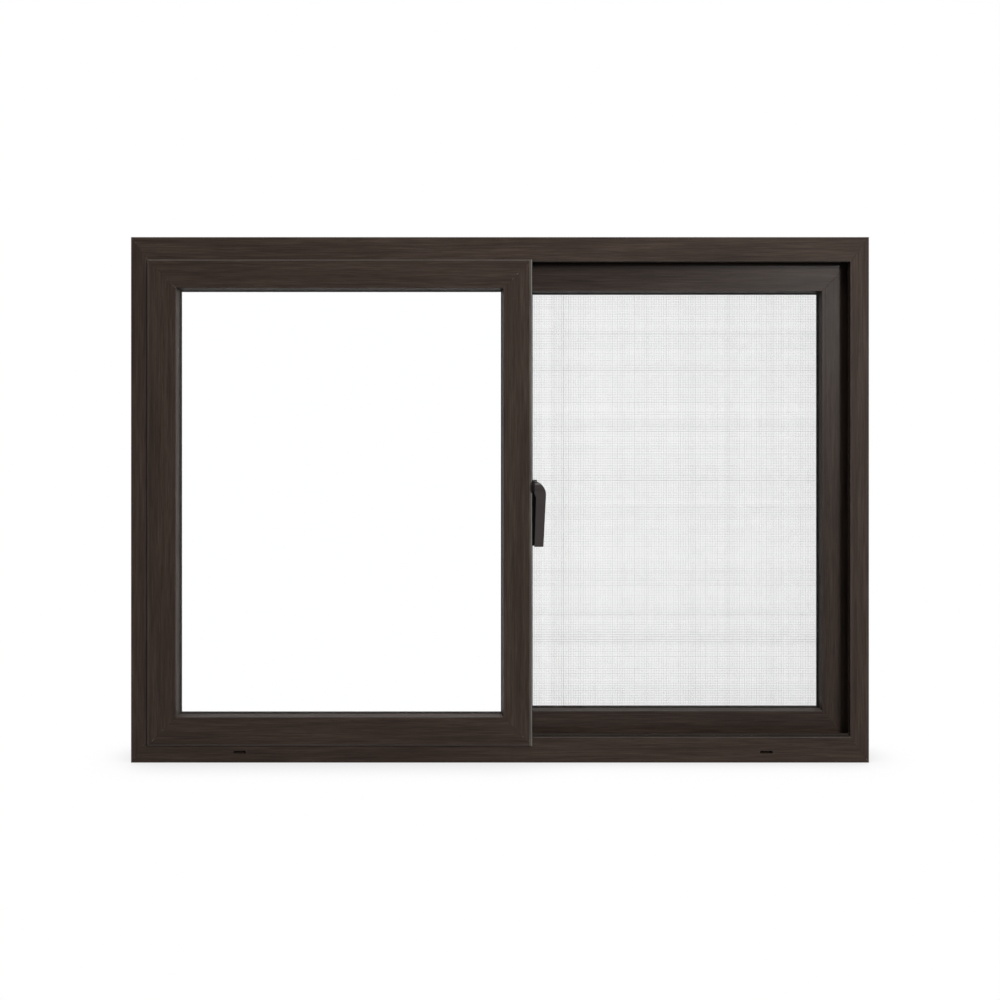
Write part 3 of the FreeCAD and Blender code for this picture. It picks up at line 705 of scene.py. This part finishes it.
# %% Hairlines at the screen's corners
HAIRLINE = 0.0004
FLUSH = 0.00003
INSET = 0.0008
screen_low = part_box("screen_left_bar")[LOW]
screen_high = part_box("screen_right_bar")[HIGH]
bar_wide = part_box("screen_left_bar")[HIGH][X] - screen_low[X]
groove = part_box("screen_spline")[LOW][X] - screen_low[X]
hairlines = []
for edge, inwards in ((screen_low[X], 1), (screen_high[X], -1)):
    for base, up in ((screen_low[Z], 1), (screen_high[Z], -1)):
        for depth, proud, reach in ((screen_low[Y], FLUSH, bar_wide), (screen_high[Y], -FLUSH, groove)):
            far = reach - INSET
            outer = (edge + inwards * INSET, depth, base + up * INSET)
            inner = (edge + inwards * far, depth, base + up * far)
            hairlines.append(seam(outer, inner, proud, HAIRLINE))
mount(joined(hairlines, "screen_corner_joints"), "insect_screen", case_plastic)

# %% [markdown]
# ## The insect mesh
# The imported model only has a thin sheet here. The real screen is two layers of threads, about a thread every
# millimetre and a half. One thread is a thin square bar, which an Array repeats. Then each thread is moved
# and thickened by a little of its own, every third one most, because an uneven weave is what gives the
# screen its hatched look. The weight also drifts from thread to thread, so there are soft bands in it.

# %% Repeat a piece
def repeat(thing, step, count):
    """Repeats a piece count times, each a step further on."""
    array = thing.modifiers.new("row", "ARRAY")
    array.use_relative_offset = False
    array.use_constant_offset = True
    array.constant_offset_displace = step
    array.count = count
    apply_all(thing)


# %% Threads across and threads upright
PITCH = 0.0016
THREAD = 0.00020
HEAVY = 1.70
LIGHT = 0.68
STRAYING = 0.08
UNEVEN = 0.12
DRIFTING = 0.07
DRIFT_KEPT = 0.85
mesh_low, mesh_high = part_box("screen_mesh")
mesh_depth = (mesh_low[Y] + mesh_high[Y]) / 2
dice = random.Random(7)


def weave(name, across):
    """Threads along X where across is true, and along Z otherwise."""
    step = Z if across else X
    count = int((mesh_high[step] - mesh_low[step]) / PITCH)
    low = list(mesh_low)
    high = list(mesh_high)
    low[Y] = mesh_depth - (THREAD if across else 0)
    high[Y] = low[Y] + THREAD
    low[step] += PITCH / 2
    high[step] = low[step] + THREAD
    threads = block(name, low, high)
    repeat(threads, [PITCH if axis == step else 0 for axis in (X, Y, Z)], count)
    points = threads.data.vertices
    each = len(points) // count
    drift = 0
    for number in range(count):
        group = points[number * each:(number + 1) * each]
        middle = sum(p.co[step] for p in group) / each
        shift = dice.gauss(0, STRAYING) * PITCH
        drift = DRIFT_KEPT * drift + dice.gauss(0, DRIFTING)
        weight = (HEAVY if number % 3 == 0 else LIGHT) * math.exp(drift + dice.gauss(0, UNEVEN))
        for point in group:
            point.co[step] = middle + shift + (point.co[step] - middle) * weight
    return threads


mesh_piece = joined([weave("threads_across", True), weave("threads_upright", False)], "woven_mesh")
mount(mesh_piece, "insect_screen", thread)
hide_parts("screen_mesh")

# %% [markdown]
# ## The brush between the sashes
# A strip of pile on the front sash closes the gap to the rear one. One tuft is a tapered block, pulled in at
# its tip, and two staggered rows of it stand on a thin backing.

# %% One row of tufts
TUFT = 0.0016
TUFT_FILL = 0.92
TUFT_HALF = 0.0011
TUFT_ROOT = 0.001
TIP_NARROW = 0.55
TIP_IN = 0.0003
pile_low, pile_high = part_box("meeting_pile")


def tuft_row(name, x, start):
    count = int((pile_high[Z] - start - TUFT_ROOT) / TUFT)
    foot = (x - TUFT_HALF, pile_low[Y], start)
    tip = (x + TUFT_HALF, pile_high[Y], start + TUFT * TUFT_FILL)
    made = block(name, foot, tip)
    for point in made.data.vertices:
        if point.co[Y] > pile_low[Y] + TUFT_ROOT:
            point.co[X] = x + (point.co[X] - x) * TIP_NARROW
            point.co[Z] += TIP_IN if point.co[Z] < start + TUFT / 2 else -TIP_IN
    repeat(made, (0, 0, TUFT), count)
    return made


# %% Two rows on a backing
BACKING_THICK = 0.0008
BACKING_ROUND = 0.0003
ROW_PLACES = ((-0.0012, 0.0005), (0.0012, 0.0013))
pile_middle = (pile_low[X] + pile_high[X]) / 2
backing = block("pile_backing", pile_low, (pile_high[X], pile_low[Y] + BACKING_THICK, pile_high[Z]))
soften(backing, BACKING_ROUND, 1)
rows = [tuft_row("row", pile_middle + shift, pile_low[Z] + start) for shift, start in ROW_PLACES]
pile_piece = joined([backing, *rows], "brush_strip")
mount(pile_piece, "front_sash", grey_brush)
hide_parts("meeting_pile")

# %% [markdown]
# ## The studio
# The ground is plain white. The light is a large soft box above the camera and to the right, with a weaker
# lamp overhead: the shadows under the head and beside the right jamb are short and dark. The world is white
# behind the window and at its sides, which puts pale lines on rounded edges, and dim behind the camera. Two
# small lamps only show as gloss. They give the foil its grey sheen towards the upper right, and each is kept
# to some of the pieces, as a flag does in a studio, so that nothing glares when the window is seen from
# behind.

# %% What is looked at
def looked_at(finish):
    """1 on rays that look, straight, in a gloss or through a pane, and 0 on rays that carry light."""
    kinds = ("Is Camera Ray", "Is Glossy Ray", "Is Transmission Ray")
    straight, gloss, through = [finish.node("ShaderNodeLightPath", output=kind) for kind in kinds]
    return finish.node("ShaderNodeClamp", {}, {"Value": straight + gloss + through})


# %% World
DIM = 0.07
DIM_UNTIL = -0.40
WHITE_FROM = 0.10
scene = bpy.context.scene
scene.view_settings.view_transform = "Standard"
scene.world = bpy.data.worlds.new("studio")
sky = Finish(scene.world, Color=(*WHITE, 1))
seen = looked_at(sky)
way = sky.node("ShaderNodeTexCoord", output="Generated")
away = sky.node("ShaderNodeSeparateXYZ", {}, {"Vector": way}, output="Y")
inputs = {"Value": away, "From Min": DIM_UNTIL, "From Max": WHITE_FROM, "To Min": DIM, "To Max": 1.0}
glow = sky.node("ShaderNodeMapRange", {"interpolation_type": "SMOOTHSTEP"}, inputs)
sky.feed("Strength", glow + (1 - glow) * seen)

# %% Lamps
AIM = (0, 0, 0.5)


def lamp(name, place, size, power):
    """A square lamp that is turned towards the middle of the window."""
    way = [target - start for target, start in zip(AIM, place)]
    tilt = math.atan2(math.hypot(way[X], way[Y]), -way[Z])
    turn = math.atan2(-way[X], way[Y])
    bpy.ops.object.light_add(type="AREA", location=place, rotation=(tilt, 0, turn))
    made = bpy.context.object
    made.name = name
    made.data.size = size
    made.data.energy = power
    print("lamp:", name)
    return made


soft_box = lamp("soft_box", (2.00, -4.15, 2.00), 1.1, 214)
soft_box.visible_glossy = False
lamp("top_lamp", (0.30, -1.60, 3.30), 0.9, 24)

# %% Sheen on the foil
SPOT = 0.12


def sheen_lamp(name, place, power, nodes):
    """A small lamp that only shows as gloss, and only on the given pieces, as if it were flagged."""
    made = lamp(name, place, SPOT, power)
    made.visible_diffuse = False
    lit_pieces = bpy.data.collections.new(name + "_pieces")
    for node in nodes:
        lit_pieces.objects.link(frame["nodes"][node])
    made.light_linking.receiver_collection = lit_pieces


foiled = [part["node"] for part in frame["record"]["subparts"] if part["material_slot"] == "profile"]
outer_sash = [node for node in foiled if node.startswith("rear_")]
the_rest = [node for node in foiled if node not in outer_sash]
sheen_lamp("high_spot", (1.96, -4.15, 1.36), 56, outer_sash)
sheen_lamp("low_spot", (1.96, -4.15, 0.95), 46, the_rest)
print("pieces with a sheen:", len(foiled))

# %% [markdown]
# ## The floor
# The floor is white where it is looked at, straight, in a gloss or through a pane, and keeps a soft shadow
# where the window stands on it. As a source of light it is only a dark grey, so the window isn't lit from
# below.

# %% Floor
FLOOR_WIDE = 200
FLOOR_GREY = (0.12, 0.12, 0.12, 1)
SHADOW = (0.80, 0.80, 0.80)
SHADOW_REACH = 0.12
bpy.ops.object.select_all(action="DESELECT")
bpy.ops.mesh.primitive_plane_add(size=FLOOR_WIDE)
floor = bpy.context.object
floor.name = "studio_floor"
pale = new_finish("pale_floor", Base_Color=FLOOR_GREY, Roughness=0.9, Specular_IOR_Level=0.0)
seen = looked_at(pale)
open_sky = pale.node("ShaderNodeAmbientOcclusion", {"samples": 8}, {"Distance": SHADOW_REACH}, output="AO")
shadow = pale.ramp(open_sky, [(0.45, SHADOW), (0.90, WHITE)])
white = pale.node("ShaderNodeEmission", {}, {"Color": shadow, "Strength": 1.0})
lit = Signal(pale, pale.shader.outputs[0])
mixed = pale.node("ShaderNodeMixShader", {}, {0: seen, 1: lit, 2: white})
ending = next(n for n in pale.tree.nodes if n.type == "OUTPUT_MATERIAL")
pale.tree.links.new(mixed.socket, ending.inputs["Surface"])
floor.data.materials.append(pale.owner)
print("floor laid")
